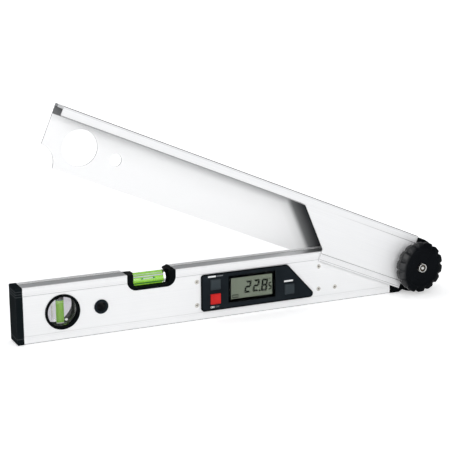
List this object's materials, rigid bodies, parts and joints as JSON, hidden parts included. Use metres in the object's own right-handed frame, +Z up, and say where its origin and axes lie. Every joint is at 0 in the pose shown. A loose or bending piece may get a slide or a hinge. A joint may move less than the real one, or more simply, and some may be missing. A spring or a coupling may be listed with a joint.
{
  "type": "angle finder with arms",
  "caption": "Digital angle finder: a box-section base leg with level vials and a display panel, and a channel arm hinged on it and clamped by a knob.",
  "frame": {"origin": "middle of the sole of the base leg", "axes": "+X from the end cap towards the hinge, +Z up, -Y towards the face with the display"},
  "size_m": [0.48, 0.0507, 0.2307],
  "materials": {
    "leg_aluminium": "satin anodised",
    "black_plastic": "fine matt",
    "knob_plastic": "fine matt",
    "inner_plastic": "plain",
    "battery_jacket": "plain jacket",
    "screw_steel": "plated",
    "bush_brass": "turned",
    "washer_plastic": "smooth",
    "circuit_board": "solder mask",
    "vial_acrylic": "clear, polished",
    "vial_fluid": "clear green liquid",
    "window_acrylic": "clear, polished",
    "lcd_glass": "reflective display",
    "grey_button": "soft matt",
    "red_button": "soft matt"
  },
  "bodies": {
    "base": {"base_profile": "leg_aluminium", "end_cap": "black_plastic", "hinge_block": "black_plastic", "display_screws": "screw_steel", "hinge_block_screws": "screw_steel", "battery_door_screw": "screw_steel", "pivot_bush": "bush_brass", "angle_sensor_board": "circuit_board", "plumb_vial_ring_front": "black_plastic", "plumb_vial_ring_rear": "black_plastic", "plumb_vial_block": "vial_acrylic", "plumb_vial_fluid": "vial_fluid", "hang_hole_sleeve": "black_plastic", "level_vial_saddle": "black_plastic", "level_vial_block": "vial_acrylic", "level_vial_fluid": "vial_fluid", "display_panel": "black_plastic", "display_window": "window_acrylic", "lcd_glass": "lcd_glass", "lcd_connector": "washer_plastic", "circuit_board": "circuit_board", "display_chassis": "inner_plastic", "button_switches": "inner_plastic", "battery_door": "black_plastic", "battery_tray": "inner_plastic", "battery": "battery_jacket", "battery_clip": "inner_plastic"},
    "arm": {"arm_profile": "leg_aluminium", "hinge_cover_front": "black_plastic", "hinge_cover_rear": "black_plastic", "hinge_cover_screws": "screw_steel", "pivot_stud": "screw_steel", "angle_sensor_disc": "circuit_board", "friction_washer": "washer_plastic"},
    "washer": {"clamp_washer": "screw_steel"},
    "knob": {"clamp_knob": "knob_plastic", "knob_insert": "bush_brass"},
    "hold_button": {"hold_button": "grey_button"},
    "power_button": {"power_button": "red_button"},
    "mode_button": {"mode_button": "grey_button"}
  },
  "joints": [
    {"name": "arm_swing", "type": "hinge", "parent": "base", "child": "arm", "pos_m": [0.2328, 0, 0.0306], "axis": [0, 1, 0], "range_deg": [-22.85, 197.15]},
    {"name": "clamp_travel", "type": "slide", "parent": "arm", "child": "washer", "axis": [0, -1, 0], "range_m": [0, 0.00125]},
    {"name": "knob_turn", "type": "hinge", "parent": "washer", "child": "knob", "pos_m": [0.2328, 0, 0.0306], "axis": [0, -1, 0], "range_deg": [0, 360]},
    {"name": "hold_press", "type": "slide", "parent": "base", "child": "hold_button", "axis": [0, 1, 0], "range_m": [0, 0.0008], "stiffness_N_per_m": 1500},
    {"name": "power_press", "type": "slide", "parent": "base", "child": "power_button", "axis": [0, 1, 0], "range_m": [0, 0.0008], "stiffness_N_per_m": 1500},
    {"name": "mode_press", "type": "slide", "parent": "base", "child": "mode_button", "axis": [0, 1, 0], "range_m": [0, 0.0008], "stiffness_N_per_m": 1500}
  ],
  "couplings": [
    {"joint": "clamp_travel", "follows": "knob_turn", "m_per_rad": 0.00019894}
  ]
}
